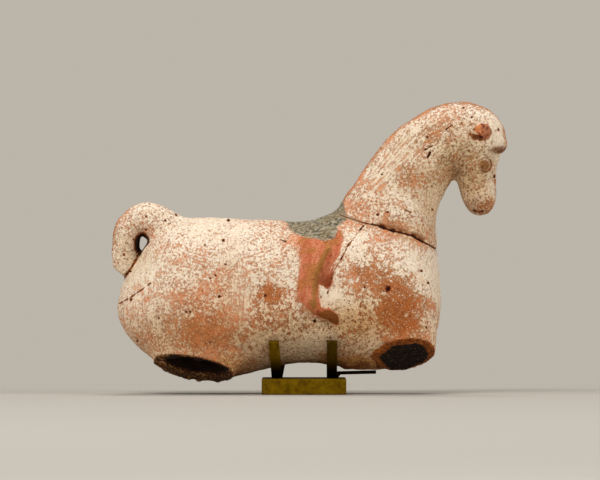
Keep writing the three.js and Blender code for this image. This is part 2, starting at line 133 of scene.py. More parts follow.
# %% Copy the CAD horse
def copy_of(node, name):
    """A CAD node's mesh as a new object, in which its loose triangles share their corners."""
    bm = bmesh.new()
    bm.from_mesh(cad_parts[node].data)
    bmesh.ops.remove_doubles(bm, verts=bm.verts, dist=0.002 * MM)
    mesh = bpy.data.meshes.new(name)
    bm.to_mesh(mesh)
    bm.free()
    return add_object(name, mesh)


def with_modifiers_applied(obj):
    graph = bpy.context.evaluated_depsgraph_get()
    mesh = bpy.data.meshes.new_from_object(obj.evaluated_get(graph))
    obj.modifiers.clear()
    obj.data = mesh


horse = copy_of("clay_horse", "horse_skin")
print("CAD faces of the horse:", len(horse.data.polygons))

# %% Open the tail hole and lay even faces over the horse
TAIL_HOLE_CORNERS = [(-62.5, 61.2), (-58.3, 58.4), (-63.8, 51.4)]
WEDGE_HALF = 15
FACE_SIZE = 0.86

wedge = bmesh.new()
corners = [wedge.verts.new((x * MM, -WEDGE_HALF * MM, z * MM)) for x, z in TAIL_HOLE_CORNERS]
near_face = wedge.faces.new(corners)
extruded = bmesh.ops.extrude_face_region(wedge, geom=[near_face])
far_corners = [v for v in extruded["geom"] if isinstance(v, bmesh.types.BMVert)]
bmesh.ops.translate(wedge, verts=far_corners, vec=(0, 2 * WEDGE_HALF * MM, 0))
bmesh.ops.recalc_face_normals(wedge, faces=wedge.faces)
cutter = add_object("tail_hole_cutter", bpy.data.meshes.new("tail_hole_cutter"))
wedge.to_mesh(cutter.data)
wedge.free()
cut = horse.modifiers.new("tail hole", "BOOLEAN")
cut.operation = "DIFFERENCE"
cut.object = cutter
cut.solver = "FAST"
remesh = horse.modifiers.new("even faces", "REMESH")
remesh.mode = "VOXEL"
remesh.voxel_size = FACE_SIZE * MM
with_modifiers_applied(horse)
bpy.data.meshes.remove(cutter.data)
print("skin faces:", len(horse.data.polygons))

# %% The places that the CAD part gives
# All are in millimetres. Three numbers are a point of the far side, which the near side mirrors,
# and two are x and z on the side view. A break is a point of a stump's face, and the degrees by
# which that face leans out and pitches.
SIDES = (-1, 1)  # near, far
FORE_BREAK = ((38.4, 17.4, 16.2), 33, -5.5)
HIND_BREAK = ((-40.7, 17.5, 10.5), 23, 10)
BREAKS = (("fore", FORE_BREAK), ("hind", HIND_BREAK))
STUMPS = [(name, place, side) for name, place in BREAKS for side in SIDES]
STUMP_REACH = 19  # along the horse, from the middle of the break
STUMP_SQUASH = 1.4  # how much less it reaches across the horse
PIT = (11.5, 6.9, 16)  # half length, half width and depth of the near hind pit
FAR_PIT_SHARE = 0.8
EAR = (67.6, 9.9, 99.8)
EYE = (69.3, 7.9, 86.6)
EYE_SEEN = (68.4, 87)  # where the pellet's middle shows, a little nearer the cheek
BROW = (72.9, 0, 95)
TOE = (6.8, 24.5, 31)
THROAT = (57.4, 81.6)
TAIL_HOLE = (-61.6, 56.6)


def in_break(co, place, side):
    """Places measured from a break: the clay is above its third axis's zero."""
    (x, y, z), lean, pitch = place
    turn = Matrix.Rotation(math.radians(side * lean), 3, "X")
    turn = turn @ Matrix.Rotation(math.radians(pitch), 3, "Y")
    return (co - np.array([x, side * y, z])) @ np.array(turn)


def on_stump(q):
    """True for places, measured from a break, that belong to its stump and not to another."""
    return np.hypot(q[:, 0], q[:, 1] * STUMP_SQUASH) < STUMP_REACH


def near_break(co, reach):
    """True for the vertices of a broken leg that are within `reach` of its plane."""
    found = np.zeros(len(co), bool)
    for _, place, side in STUMPS:
        q = in_break(co, place, side)
        found |= (np.abs(q[:, 2]) < reach) & on_stump(q)
    return found


def from_point(co, x, y, z):
    """Distance from each vertex to a point."""
    return np.linalg.norm(co - np.array([x, y, z]), axis=1)


def from_spot(co, x, z):
    """Distance on the side view from each vertex to a spot."""
    return np.hypot(co[:, 0] - x, co[:, 2] - z)


def in_oval(co, x, z, half_x, half_z):
    """0 at an oval's middle on the side view, 1 at its edge and more outside."""
    return np.hypot((co[:, 0] - x) / half_x, (co[:, 2] - z) / half_z)


def in_pit(co, side, slack=1.0):
    """How far in a hind pit each vertex lies, in millimetres above the break, or 0 outside it."""
    share = slack * (1 if side < 0 else FAR_PIT_SHARE)
    q = in_break(co, HIND_BREAK, side)
    inside = np.hypot(q[:, 0] / (PIT[0] * share), q[:, 1] / (PIT[1] * share)) < 1
    return np.where(inside & (q[:, 2] > 0) & (q[:, 2] < PIT[2] + 1.5), q[:, 2], 0)


# %% Smooth away the facets
def held(co):
    """How firmly each vertex keeps its place while the skin is smoothed, from 0 to 1."""
    hold = np.where(near_break(co, 1.1), 0.9, 0.0)
    lumps = ((EAR, 0.85, 4.6, 6.6), (EYE, 0.9, 3.4, 4.8), (TOE, 0.6, 6.5, 8.5))
    for side in SIDES:
        for (x, y, z), firm, near, far in lumps:
            hold = np.maximum(hold, firm * (1 - ease(from_point(co, x, side * y, z), near, far)))
        hold = np.where(in_pit(co, side, 1.1) > 0, np.maximum(hold, 0.8), hold)
    hold = np.maximum(hold, 0.75 * (1 - ease(from_point(co, *BROW), 6.5, 9)))
    for (x, z), firm, near, far in ((THROAT, 0.85, 3, 6), (TAIL_HOLE, 0.92, 4, 6)):
        hold = np.maximum(hold, firm * (1 - ease(from_spot(co, x, z), near, far)))
    muzzle = ease(co[:, 2], 73, 70) * ease(co[:, 0], 57, 59)
    hold = np.maximum(hold, 0.6 * muzzle)
    tail_tip = (co[:, 0] < -58) & (co[:, 2] < 56) & (co[:, 2] > 44) & (np.abs(co[:, 1]) < 8)
    return np.where(tail_tip, np.maximum(hold, 0.7), hold)


def neighbours_of(mesh):
    """A function that gives, for values kept on vertices, the mean of each one's neighbours."""
    pairs = np.empty(len(mesh.edges) * 2, np.int32)
    mesh.edges.foreach_get("vertices", pairs)
    a, b = pairs.reshape(-1, 2).T
    count = len(mesh.vertices)
    links = np.bincount(a, minlength=count) + np.bincount(b, minlength=count)

    def middle(values):
        columns = [np.bincount(a, v[b], count) + np.bincount(b, v[a], count) for v in values.T]
        return np.stack(columns, 1) / links[:, None]

    return middle


def smooth_skin(mesh, rounds, hold):
    """Moves each vertex half way to its neighbours' mean, round after round, then gives girth back."""
    middle = neighbours_of(mesh)
    rough = places(mesh)
    co = rough.copy()
    for _ in range(rounds):
        co += 0.5 * (1 - hold[:, None]) * (middle(co) - co)
    put_places(mesh, co)
    normals = outward(mesh)
    lost = ((rough - co) * normals).sum(1, keepdims=True)
    for _ in range(rounds):
        lost += 0.5 * (middle(lost) - lost)
    put_places(mesh, co + normals * lost)
    print("girth given back, at most mm:", round(float(lost.max()), 2))


SMOOTHING_ROUNDS = 30
smooth_skin(horse.data, SMOOTHING_ROUNDS, held(places(horse.data)))

# %% [markdown]
# ## Where the finds are
# Cracks, pits and painted areas are placed by [x, z] in millimetres on the side view. Each one is
# then pressed into whatever surface lies there, so it sits on the clay from every side. A line is
# open, an outline is closed.

# %% Lines, slots and pits
NECK_JOINT = [(13.6, 68.2), (15.1, 67.5), (18.2, 66.5), (22.6, 65), (28.1, 64), (32.4, 62.3), (37.8, 61),
              (41, 60.2), (44.3, 58.3), (47.1, 56.9), (50.6, 55)]
SHOULDER_CRACK = [(22.6, 64), (20.7, 61.8), (18, 58), (16.3, 55.9), (15, 53.1), (13.1, 49.8), (11.5, 47.1),
                  (10.1, 43.3), (8.9, 38.4)]
FLAKED_STRIP = [(14.9, 54.6), (13, 51.8), (10.8, 48.8), (9.4, 46.4)]
RUMP_CRACK = [(-69.9, 34.4), (-67.6, 35.7), (-65.7, 36.7), (-62.3, 39.1), (-57.8, 42.2)]
TAIL_SEAM = [(-62.8, 53.4), (-63.6, 51.2), (-65, 48.6), (-66.6, 46.4), (-68.4, 44)]
BELLY_CREASE = [(-20.3, 19.4), (-11, 24.6), (-5.6, 27.6), (0, 28.1)]
ARC_SCRATCH = [(-18.1, 27), (-16.6, 28.6), (-14.3, 30.8)]
MOUTH = [(64.4, 69.7), (66, 69.1), (67.8, 69.3)]
HEEL_LINES = [[(-0.4, 33.8), (2.7, 31.1), (6.1, 29.6)], [(5.3, 31.4), (8.1, 34.2)]]
PITS = [  # x, z, radius, depth
    (31.7, 40, 1.15, 1.1), (44.3, 46.9, 0.6, 0.7), (46.9, 42.2, 0.55, 0.6), (22.9, 40.6, 0.45, 0.5),
    (46.1, 25.6, 0.45, 0.5), (27.8, 67.9, 0.5, 0.6), (31.7, 69.1, 0.5, 0.5), (48.6, 70.2, 0.4, 0.4),
    (-30.4, 58.4, 0.65, 0.8), (-33.3, 45.1, 0.5, 0.6), (-35.4, 44.1, 0.45, 0.5), (-32, 37.2, 0.7, 0.7),
    (-37.4, 56.5, 0.35, 0.4), (-29.6, 49.3, 0.4, 0.4), (-28.7, 66, 0.7, 0.6), (-54.7, 29.1, 0.4, 0.4),
    (-63, 20.3, 0.45, 0.5), (-44.4, 31.6, 0.4, 0.4), (-42.8, 31.4, 0.35, 0.4), (-35.4, 19.8, 0.35, 0.4),
    (-65.4, 36, 0.6, 0.6), (46.6, 97.4, 0.45, 0.5), (29.6, 83.3, 0.45, 0.4), (60.3, 108.6, 0.45, 0.4),
    (63.6, 104.9, 0.4, 0.4), (48.4, 78.8, 0.35, 0.4), (73.7, 100.4, 0.45, 0.4), (3.9, 27.9, 0.7, 0.8),
    (-14.6, 37.6, 0.5, 0.5), (-60, 62.4, 0.45, 0.4), (-52.6, 66, 0.45, 0.4), (-48.6, 68, 0.5, 0.4),
    (-65.8, 46.5, 0.4, 0.4), (-68.4, 52.8, 0.35, 0.3), (-64.6, 58.6, 0.35, 0.3), (-59.8, 67.6, 0.4, 0.4),
]
SLOTS = [  # from, to, width, depth
    ((45.8, 92.6), (48.5, 94), 0.34, 0.8), ((46.7, 89.6), (47.8, 91.6), 0.38, 0.9),
    ((53.9, 100.4), (56, 102), 0.28, 0.5), ((38.4, 69.8), (40.2, 69), 0.35, 0.5),
    ((72.3, 82.8), (73.1, 81.2), 0.55, 1.0), ((-8.9, 58.7), (-7, 58), 0.3, 0.5),
]
CHIPS = [  # torn edges above the joint: from, to, width, depth
    ((28.6, 64.4), (38.4, 61.7), 0.8, 0.7), ((41.3, 60.9), (45.4, 58.7), 0.75, 0.9),
]


def from_line(co, line):
    """Distance on the side view from each vertex to a broken line."""
    nearest = np.full(len(co), 1e9)
    for (ax, az), (bx, bz) in zip(line, line[1:]):
        run, rise = bx - ax, bz - az
        t = np.clip(((co[:, 0] - ax) * run + (co[:, 2] - az) * rise) / (run**2 + rise**2), 0, 1)
        nearest = np.minimum(nearest, np.hypot(co[:, 0] - ax - t * run, co[:, 2] - az - t * rise))
    return nearest


# %% Outlines of the painted, broken and bare areas
RIDER_LEG = [(-2.7, 60.5), (-1.6, 53), (-1.2, 48.8), (-2.1, 43.3), (-2.3, 37), (-0.6, 34.4), (1.5, 33),
             (3.2, 31.2), (6.5, 29.4), (10, 27.8), (13.2, 27), (13, 29.8), (9.6, 31.8), (6.6, 33.4),
             (5.6, 36.5), (5.4, 39.5), (6.4, 43.3), (8.2, 47), (10.9, 50), (13.2, 53), (14, 57), (14.4, 62)]
SCAR = [(-9.5, 71), (-8, 66.5), (-6.1, 63.8), (-3.8, 61.2), (-1.5, 59.7), (3, 58.9), (8, 58.5), (11.8, 59.3),
        (12.9, 61.6), (12.5, 63.8), (14.1, 64.6), (16.3, 66), (15.6, 69.5), (14, 76), (-8, 76)]
RECESS = [(9.5, 54.7), (11.6, 50.4), (10.6, 43.3), (8.7, 39.5), (5.3, 40.3), (4.9, 44.5), (6.8, 50.2)]
ISLAND = [(5.3, 41.8), (7.2, 41.4), (9.1, 39.1), (12.9, 39.5), (15.6, 38.4), (13.7, 36.1), (11, 34.6),
          (8, 35.3), (6.1, 37.2)]
ROBE_EDGE = [(8, 54.7), (10.1, 55.3), (11.5, 54.5), (11, 52.1), (9.3, 49.8), (7.7, 48.3)]
OCHRE_RIDGE = [(9.4, 55.6), (7.4, 52), (5.2, 47.4), (4.3, 42), (4, 37), (3.6, 33.4)]
FORE_TEAR = [(26.6, 16), (27.7, 9.9), (30.8, 8.7), (36.5, 8.9), (42.2, 10.6), (48.6, 12.5), (50.2, 14.1),
             (49, 17.5), (46, 20.1), (41, 21.1), (34.6, 20.9), (30.8, 19.4)]
EAR_OUTLINE = [(63.6, 100.3), (66.9, 102.8), (69.9, 102.4), (71.4, 99.2), (69.9, 96.5), (66.9, 96.9),
               (65.4, 98.8)]


def within(co, outline, soft=0.4):
    """1 inside a closed outline on the side view and 0 outside, with an edge twice `soft` wide."""
    x, z = co[:, 0], co[:, 2]
    inside = np.zeros(len(co), bool)
    for (ax, az), (bx, bz) in zip(outline, outline[1:] + outline[:1]):
        if az != bz:
            inside ^= ((az > z) != (bz > z)) & (x < ax + (z - az) * (bx - ax) / (bz - az))
    edge = from_line(co, outline + outline[:1])
    return ease(np.where(inside, edge, -edge), -soft, soft)


# %% [markdown]
# ## Finer faces where there is detail
# A crack is narrower than one face of the skin. More faces everywhere would be slow, so only the
# edges near a find, a broken leg, an ear, an eye or the rider's leg are cut in half. Those right at
# a crack or a pit are cut in half once more.

# %% Cut the skin finer near the finds
def near_finds(co, reach):
    """True for the vertices near a crack, a slot or a pit. Only the neck's joint has a far half."""
    near = from_line(co, NECK_JOINT) < reach
    near_half = co[:, 1] < 0
    slots = [ends[:2] for ends in SLOTS]
    for line in (SHOULDER_CRACK, RUMP_CRACK, TAIL_SEAM, MOUTH, *HEEL_LINES, *slots):
        near |= near_half & (from_line(co, line) < reach * 0.8)
    for x, z, radius, _ in PITS:
        near |= near_half & (from_spot(co, x, z) < radius + reach * 0.3)
    return near


def near_features(co):
    """True for the vertices near a find, a broken leg, an ear, an eye or the near leg's edge."""
    near = near_finds(co, 1.8) | near_break(co, 1.3)
    for (x, y, z), reach in ((EAR, 4.8), (EYE, 4)):
        near |= (from_point(co, x, -y, z) < reach) | (from_point(co, x, y, z) < reach)
    edge = from_line(co, RIDER_LEG + RIDER_LEG[:1])
    return near | ((edge < 1.1) & (co[:, 1] < -15))


def cut_finer(obj, chosen):
    """Cuts an edge in half where `chosen` is true for both its ends."""
    bm = bmesh.new()
    bm.from_mesh(obj.data)
    marked = chosen(np.array([v.co[:] for v in bm.verts]) / MM).tolist()
    edges = [e for e in bm.edges if marked[e.verts[0].index] and marked[e.verts[1].index]]
    bmesh.ops.subdivide_edges(bm, edges=edges, cuts=1, use_grid_fill=True)
    bm.to_mesh(obj.data)
    bm.free()
    print("edges cut:", len(edges), "vertices:", len(obj.data.vertices))


cut_finer(horse, near_features)
cut_finer(horse, lambda co: near_finds(co, 1.0))

# %% [markdown]
# ## Pressing the finds into the clay
# `press` moves vertices along their normals. A crack is a narrow groove whose edge wanders a
# little. A pit is a round dent. The hand that made the horse left it slightly uneven, so low wide
# noise comes first, and the fine tools come after it.

# %% Tools that press the clay
skin = horse.data
co = places(skin)


def press(amount):
    """Moves each vertex out of the clay by its amount in millimetres, or into it where negative."""
    global co
    co = co + outward(skin) * amount[:, None]
    put_places(skin, co)


def groove(line, width, depth, where=True):
    """Presses a rounded furrow along a line. A negative depth raises a ridge instead."""
    press(-depth * bell(from_line(co, line) + wander, width) * where)


def report(step):
    """Prints how far the skin has moved since the last report, at most."""
    global reported
    moved = np.linalg.norm(co - reported, axis=1).max()
    print(step, "moved the clay by at most mm:", round(float(moved), 2))
    reported = co.copy()


reported = co.copy()
near_side = co[:, 1] < 0
flanks = np.abs(co[:, 1]) > 14
wander = 0.22 * mottle(co, 1.6, 3)

# %% Hand-made unevenness
press(0.34 * mottle(co, 13, 1) + 0.16 * mottle(co, 5, 2))
press(0.09 * mottle(co, 1.8, 4))
report("unevenness")

# %% The joint of the mended neck and the cracks
joint = from_line(co, NECK_JOINT)
ring = (co[:, 2] > 50) & (co[:, 2] < 72)
GAP_AT = [14, 20, 24, 30, 36, 40, 41.5, 45, 48]
GAP_DEPTH = [0.15, 0.15, 0.4, 0.8, 0.75, 0.4, 0.9, 0.8, 0.5]
gap = np.interp(co[:, 0], GAP_AT, GAP_DEPTH)
groove(NECK_JOINT, 0.4, gap, ring)
groove(SHOULDER_CRACK, 0.24, 0.6, near_side)
groove(RUMP_CRACK, 0.24, 0.5, near_side)
groove(TAIL_SEAM, 0.6, 1.2, near_side)
groove(MOUTH, 0.3, 0.5)
LOWER_LIP = [(x, z - 0.9) for x, z in MOUTH]
groove(LOWER_LIP, 0.5, -0.15)
groove(BELLY_CREASE, 0.5, 0.25, near_side)
groove(ARC_SCRATCH, 0.3, 0.25, near_side)
for line in HEEL_LINES:
    groove(line, 0.25, 0.3, near_side)
report("joint and cracks")

# %% The chips above the joint and the flaked strip beside the shoulder crack
for start, end, width, depth in CHIPS:
    groove([start, end], width, depth, near_side)
groove(FLAKED_STRIP, 1.1, 0.3 + 0.25 * mottle(co, 1.4, 20), near_side)
report("chips")

# %% Pits and slots
ragged = 1 + 0.3 * mottle(co, 0.8, 29)
for x, z, radius, depth in PITS:
    press(-depth * bell(from_spot(co, x, z) * ragged, radius, 4) * near_side)
for start, end, width, depth in SLOTS:
    groove([start, end], width, depth, near_side)
print("pits:", len(PITS), "slots:", len(SLOTS))
report("pits and slots")

# %% [markdown]
# ## The rider's leg and the horse's head
# The lost rider's leg hangs on the flank with a raised edge of dress, a sunk patch behind the knee
# and a rounded shin. On the head the ear is torn off to a rough flat stub, and the eye is a pellet
# in a low ring. The brow is a small roll of clay. The CAD horse has these lumps, so pressing only
# adds their edges and folds.

# %% Folds of the rider's leg
BESIDE_RIDGE = [(5.9, 52), (3, 47), (2, 41), (1.7, 36.5)]
THIGH_FOLD = [(0.6, 57), (0.7, 50), (-0.3, 44)]
groove(OCHRE_RIDGE, 1.0, -0.45, flanks)
groove(BESIDE_RIDGE, 0.7, 0.35, flanks)
groove(THIGH_FOLD, 0.6, 0.2, flanks)
groove(ROBE_EDGE, 0.6, -0.45, flanks)
press(-0.75 * within(co, RECESS, 0.9) * flanks)
press(0.35 * within(co, ISLAND, 0.5) * (0.8 + 0.4 * mottle(co, 1.5, 21)) * flanks)
press(0.14 * mottle(co, 1.1, 22) * within(co, SCAR, 0.8))
report("folds")

# %% The breast sinks towards the arm
under_breast = ease(co[:, 0], 13, 16) * ease(co[:, 0], 31, 27) * ease(co[:, 2], 13, 11)
sag = np.interp(co[:, 0], [14, 18, 26], [0.9, 0.6, 0.25])
press(sag * under_breast * (1 - ease(np.abs(co[:, 1]), 4, 9)))
report("breast")

# %% The tail hole narrows inwards
PINCH = (-60.9, 57)
hole_x, hole_z = co[:, 0] - PINCH[0], co[:, 2] - PINCH[1]
narrower = 1 - 0.32 * bell(co[:, 1], 3.5) * (1 - ease(from_spot(co, *PINCH), 4, 5.5))
co[:, 0] += hole_x * (narrower - 1)
co[:, 2] += hole_z * 0.5 * (narrower - 1)
put_places(skin, co)
report("tail hole")

# %% Torn ear stubs
for side in SIDES:
    x, y, z = EAR
    stub = (from_point(co, x, side * y, z) < 5) & (side * co[:, 1] > 11.6)
    flat_face = 11.7 + 0.25 * mottle(co, 1.3, 23) - 0.12 * (co[:, 2] - z)
    co[:, 1] = np.where(stub, side * np.minimum(side * co[:, 1], flat_face), co[:, 1])
    put_places(skin, co)
report("ears")

# %% Eyes in their rings
for side in SIDES:
    here = side * co[:, 1] > 4
    nudge = (1 - ease(from_spot(co, EYE[0], EYE[2]), 2.8, 7)) * here
    x, z = EYE_SEEN
    co[:, 0] += nudge * (x - EYE[0])
    co[:, 2] += nudge * (z - EYE[2])
    put_places(skin, co)
    from_eye = from_spot(co, x, z)
    press(-0.4 * bell(from_eye - 2.6, 0.4) * here)
    press(0.25 * (1 - ease(from_eye, 1, 2.2)) * here)
    above = ease(z - co[:, 2] - 0.8 * (co[:, 0] - x), 3.2, -1.5)
    press(0.4 * bell(from_eye - 3.1, 0.4) * above * here)
report("eyes")

# %% The brow
UNDER_BROW = [(72.3, 92.2), (75.4, 90.6)]
press(0.25 * (1 - ease(from_point(co, *BROW), 4, 8)) * (co[:, 0] > 73))
groove(UNDER_BROW, 0.8, 0.6)
report("brow")

# %% [markdown]
# ## The broken legs
# Each leg broke off and left a rough face. The fore faces are whole, with a black core where the
# fire didn't reach. The hind ones have a deep pit. Noise roughens the flat CAD faces. The black
# core follows the rim of its face, so a search tree finds how far from the rim each vertex lies.

# %% Torn faces of the broken legs
RIM_FROM, RIM_TO = 0.7, 1.7
from_rim = {}
for name, place, side in STUMPS:
    q = in_break(co, place, side)
    here = on_stump(q)
    rim_vertices = np.flatnonzero(here & (q[:, 2] > RIM_FROM) & (q[:, 2] < RIM_TO))
    rim = kdtree.KDTree(len(rim_vertices))
    for index in rim_vertices:
        rim.insert(co[index], int(index))
    rim.balance()
    from_rim[name, side] = np.zeros(len(co))
    for index in np.flatnonzero(here & (np.abs(q[:, 2]) < RIM_FROM)):
        from_rim[name, side][index] = rim.find(co[index])[2]
    axes = in_break(np.eye(3), ((0, 0, 0), *place[1:]), side)
    faces_out = -(outward(skin) @ axes[:, 2]) > 0.75
    face = (np.abs(q[:, 2]) < 0.9) & faces_out & here
    grit = np.zeros(len(co))
    grit[face] = 0.3 * mottle(co[face], 2.4, 5) + 0.2 * mottle(co[face], 1.0, 6)
    grit[face] += 0.5 * mottle(co[face], 4.2, 7) - 0.1 if name == "hind" else -0.35
    press(grit)
    print(name, side, "vertices in the break:", int(face.sum()))
report("torn faces")

# %% The walls of the hind pits
for side in SIDES:
    walls = in_pit(co, side, 1.06) > 0
    rough = np.zeros(len(co))
    rough[walls] = 0.55 * mottle(co[walls], 3.6, 8) + 0.15 * mottle(co[walls], 1.2, 9)
    press(rough)
report("pit walls")

# %% [markdown]
# ## Naming what covers the clay
# The look changes from place to place: white slip that has mostly worn off, red paint on the
# rider's leg, bare grey clay where the rider sat, a black unfired core in the broken legs. Each is
# a value from 0 to 1 on every vertex, which the material reads by name. Several values also carry
# painted shade and light, and their names say so.

# %% Soft patches on the side view
drift = co + 1.8 * np.stack([mottle(co, 6, 11), mottle(co, 6, 12), mottle(co, 6, 13)], 1)
off_middle = np.abs(co[:, 1])


def drifted(share):
    """The vertices' places moved by a share of the drift, which makes an outline wander."""
    return drift * share + co * (1 - share)


def patch(x, z, half_x, half_z, turn=0):
    """1 in the middle of a soft oval on the side view, fading to 0 at its edge."""
    angle = math.radians(turn)
    dx, dz = drift[:, 0] - x, drift[:, 2] - z
    along = (dx * math.cos(angle) + dz * math.sin(angle)) / half_x
    across = (dz * math.cos(angle) - dx * math.sin(angle)) / half_z
    return 1 - ease(np.hypot(along, across), 0.3, 1.4)


def patched(start, patches):
    """A value everywhere, and more of it in each patch: x, z, half sizes, how much more, any turn."""
    values = np.full(len(co), float(start))
    for x, z, half_x, half_z, more, *turn in patches:
        values += more * patch(x, z, half_x, half_z, *turn)
    return values


def keep(name, values):
    """Stores one value for each vertex, under a name that the material can read."""
    attribute = skin.attributes.new(name, "FLOAT", "POINT")
    attribute.data.foreach_set("value", np.clip(values, 0, 1).astype(np.float32))
    print(name, "covers", round(float((values > 0.5).mean()) * 100, 1), "% of the vertices")


# %% Torn clay and its black core
torn, core, hind_lip, hind_core = np.zeros((4, len(co)))
for name, place, side in STUMPS:
    q = in_break(co, place, side)
    here = on_stump(q)
    torn = np.maximum(torn, ease(q[:, 2] + 0.15 * mottle(co, 1.0, 24), 0.75, 0.35) * here)
    flat = here & (q[:, 2] < 0.5)
    if name == "fore":
        band = np.interp(side * q[:, 1], [-7, -2, 6], [1.3, 2.6, 3.4]) + 0.4 * mottle(co, 2.2, 15)
        band += 0.8 * ease(q[:, 0], 5, 11) + 2.4 * ease(-q[:, 0], 4, 10)
        torn = np.maximum(torn, within(co, FORE_TEAR, 0.4) * (side * co[:, 1] > 3) * (q[:, 2] < 3.5))
        core = np.maximum(core, ease(from_rim[name, side] - band, -0.3, 0.3))
    else:
        depth = in_pit(co, side, 1.12)
        torn = np.maximum(torn, depth > 0)
        thin_wall = np.hypot(q[:, 0] / 12.6, (q[:, 1] - side * 2.6) / 7.6)
        thin_wall += 0.08 * mottle(co, 1.4, 25)
        outer_lip = ease(side * q[:, 1], 2, 3) * ease(np.abs(q[:, 0] - 1), 11.5, 10)
        walls = np.maximum(ease(thin_wall, 1.03, 0.95), outer_lip) * flat
        hind_core = np.maximum.reduce([hind_core, ease(depth, 0.2, 1.5), walls])
        hind_lip = np.maximum(hind_lip, here & (q[:, 2] < 1))
keep("torn", torn)
keep("core", np.maximum(core, hind_core))

# %% How much slip is left, with a little painted light, and how coarse its flakes are
# Most patches say where slip is left. The few on the belly and low on the rump by the tail whiten places the
# lamps leave too dark, which is painted light.
slip_and_painted_light = patched(0.57, [
    (-38, 66, 14, 3, 0.1), (30, 84, 8, 5, 0.06, 50), (35, 75, 6, 6, 0.1), (-61, 70, 7, 4, 0.12),
    (-32, 62, 22, 6, 0.14), (-10, 62, 9, 6, -0.1), (-37, 26, 13, 12, -0.2, -15), (-42, 32, 22, 20, -0.04),
    (-62, 34, 9, 14, -0.08), (-62, 20, 11, 9, -0.03), (-28, 40, 5, 20, -0.08), (-14, 38, 4, 4, -0.2),
    (-12, 32, 12, 7, -0.08), (0, 18, 12, 6, 0.1), (-66, 42, 5, 7, 0.06), (18, 58, 6, 7, 0.1, -35),
    (25, 47, 10, 7, -0.19, -30), (35, 35, 9, 11, -0.24, -20), (34, 27, 8, 8, -0.18),
    (42, 49, 8, 5, 0.12, -30), (38, 60, 12, 4, -0.12, -25), (46, 31, 5, 5, -0.1), (50, 45, 4, 12, 0.12),
    (12, 37, 5, 4, 0.2), (20, 44, 6, 6, -0.12), (22, 29, 8, 6, 0.02), (28, 24, 6, 5, 0.08),
    (40, 23, 7, 5, -0.14), (8, 22, 12, 6, 0.06), (18, 74, 6, 12, -0.08, -35), (35, 68, 6, 7, -0.1, 20),
    (38, 89, 9, 6, 0.06, 40), (38, 85, 5, 4, -0.16, 45), (51, 99, 9, 5, -0.12, 35),
    (47, 85, 6, 5, 0.08, 30), (43, 74, 6, 5, 0.02), (50, 72, 4, 9, 0.12, -20), (70, 102, 6, 6, 0.1, -30),
    (73, 94, 4, 6, 0.2), (-52, 66, 9, 4, 0.04), (-65, 52, 5, 8, 0.12), (-60, 47, 5, 7, 0.14),
    (-49, 37, 6, 9, -0.12), (-30, 33, 8, 6, 0.14), (-27, 54, 6, 6, 0.08), (-9, 37, 7, 4, -0.14, 15),
    (20, 52, 5, 4, 0.16), (18, 67, 6, 6, -0.12), (31, 59, 6, 3, -0.12, -15), (42, 45, 4, 4, 0.1),
    (48, 24, 4, 6, 0.1), (50.5, 36, 3, 6, 0.1), (73, 100, 4, 5, 0.1), (46, 97, 6, 4, -0.12, 35),
    (42, 78, 5, 5, -0.1), (40, 70, 5, 4, 0.08), (15, 30, 4, 5, 0.08), (32, 21, 5, 4, 0.08),
    (-16, 18, 9, 5, 0.16), (2, 20, 8, 6, 0.12), (-55, 32, 5, 7, 0.1), (-37, 22, 6, 5, -0.08),
    (-34, 40, 5, 5, -0.07), (38, 21, 4, 4, -0.1), (46, 30, 3, 4, -0.1), (-4, 58, 4, 5, -0.12),
    (-10, 57, 3, 5, 0.1), (22, 60, 7, 3, -0.06, -15), (12, 32, 4, 3, 0.1), (21, 30, 2.5, 5, -0.1),
    (72, 78, 3, 6, 0.15), (62, 76, 3, 6, 0.08), (26, 76, 9, 4, -0.05, 55), (70.5, 70, 4, 3.5, -0.2),
    (44, 86, 8, 10, -0.05), (-66, 32, 6, 10, 0.06), (-50, 42, 8, 6, 0.06), (74, 104, 4, 5, 0.1),
    (42, 68, 7, 4, 0.06), (68, 84, 5, 10, 0.02),
])
upwards = outward(skin)[:, 2]
forelock = ease(co[:, 0], 70, 73) * ease(co[:, 2], 90, 93)
# Bare orange along the top of the crest and the tail's back: partly worn slip, partly painted rim light, the
# crest's part kept to faces turned up.
crest_wear_and_rim_light = ease(co[:, 2], 69, 74) * (1 - ease(off_middle, 1.5, 6)) * (co[:, 0] > 12)
crest_wear_and_rim_light *= np.maximum(ease(upwards, -0.2, 0.2), forelock)
tail_back_wear_and_rim_light = ease(co[:, 0], -62, -67) * ease(co[:, 2], 48, 54) * (1 - ease(off_middle, 1, 5))
slip_and_painted_light -= np.maximum(0.3 * crest_wear_and_rim_light, 0.2 * tail_back_wear_and_rim_light)
keep("slip_and_painted_light", slip_and_painted_light * (1 - torn))
keep("coarse", patched(0.1, [
    (28, 34, 20, 16, 0.9), (-6, 26, 24, 12, 0.8), (20, 55, 8, 10, 0.4), (-14, 42, 12, 10, 0.4),
]))

# %% Where the bare clay is orange, with painted rim light on the crest, and where the slip is cream, with painted shade
left_of_ear = ease(co[:, 0] + 0.8 * mottle(co, 1.5, 28), 69, 65) * (co[:, 2] > 97.5)
left_of_ear *= from_point(np.abs(co), *EAR) < 6
